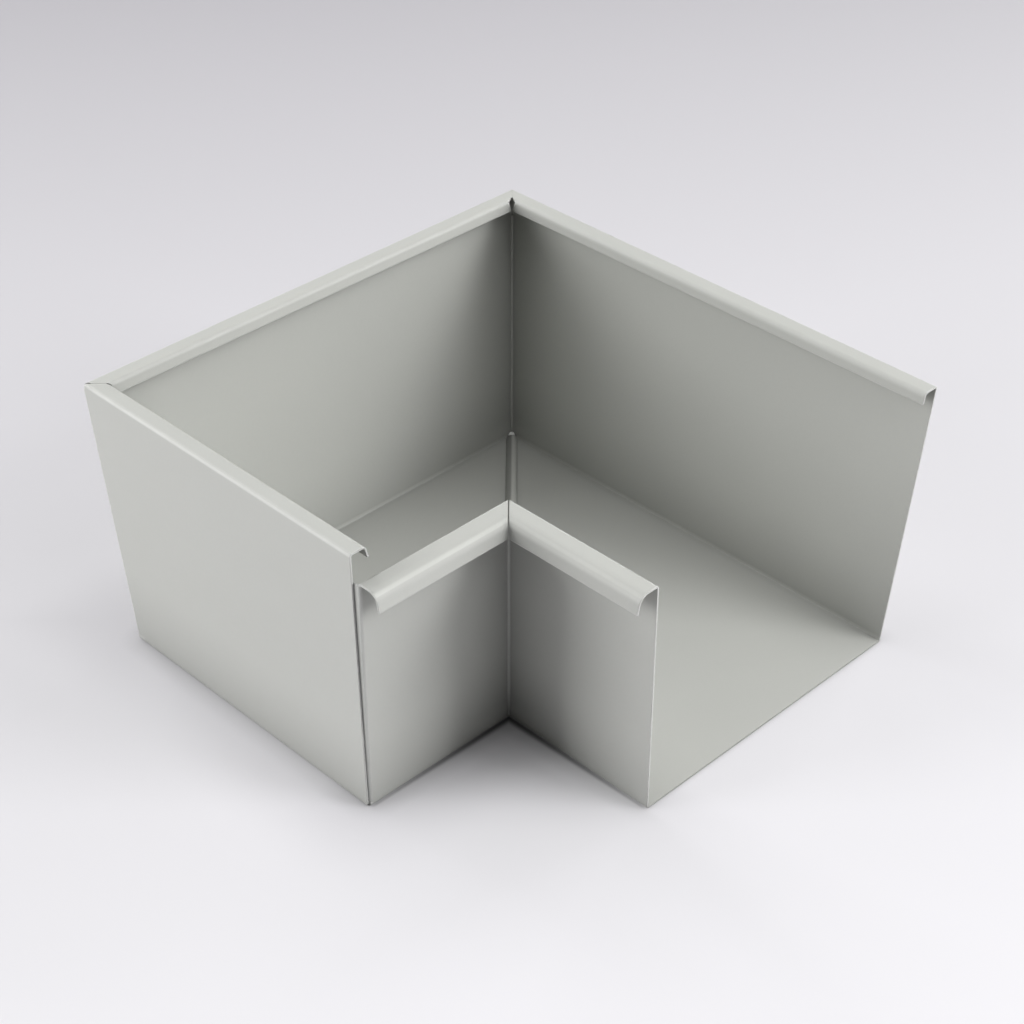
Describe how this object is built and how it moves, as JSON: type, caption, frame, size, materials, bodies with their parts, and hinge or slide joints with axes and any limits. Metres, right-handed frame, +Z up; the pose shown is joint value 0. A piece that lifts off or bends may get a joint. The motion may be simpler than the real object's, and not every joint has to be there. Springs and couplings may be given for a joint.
{
  "type": "gutter angle",
  "caption": "Inside corner piece for a box roof gutter: folded sheet-metal arms meeting at a right angle on a mitred floor, with tall back walls, low rolled front lips and a closed end.",
  "frame": {"origin": "on the floor plane under the middle of the bounding box", "axes": "+Z up; +X along the closed arm, away from the far corner; +Y along the open arm, away from the far corner"},
  "size_m": [0.1965, 0.1965, 0.098],
  "materials": {
    "coated_sheet": "satin light grey coating"
  },
  "bodies": {
    "root": {"left_arm": "coated_sheet", "right_arm": "coated_sheet"}
  },
  "joints": []
}
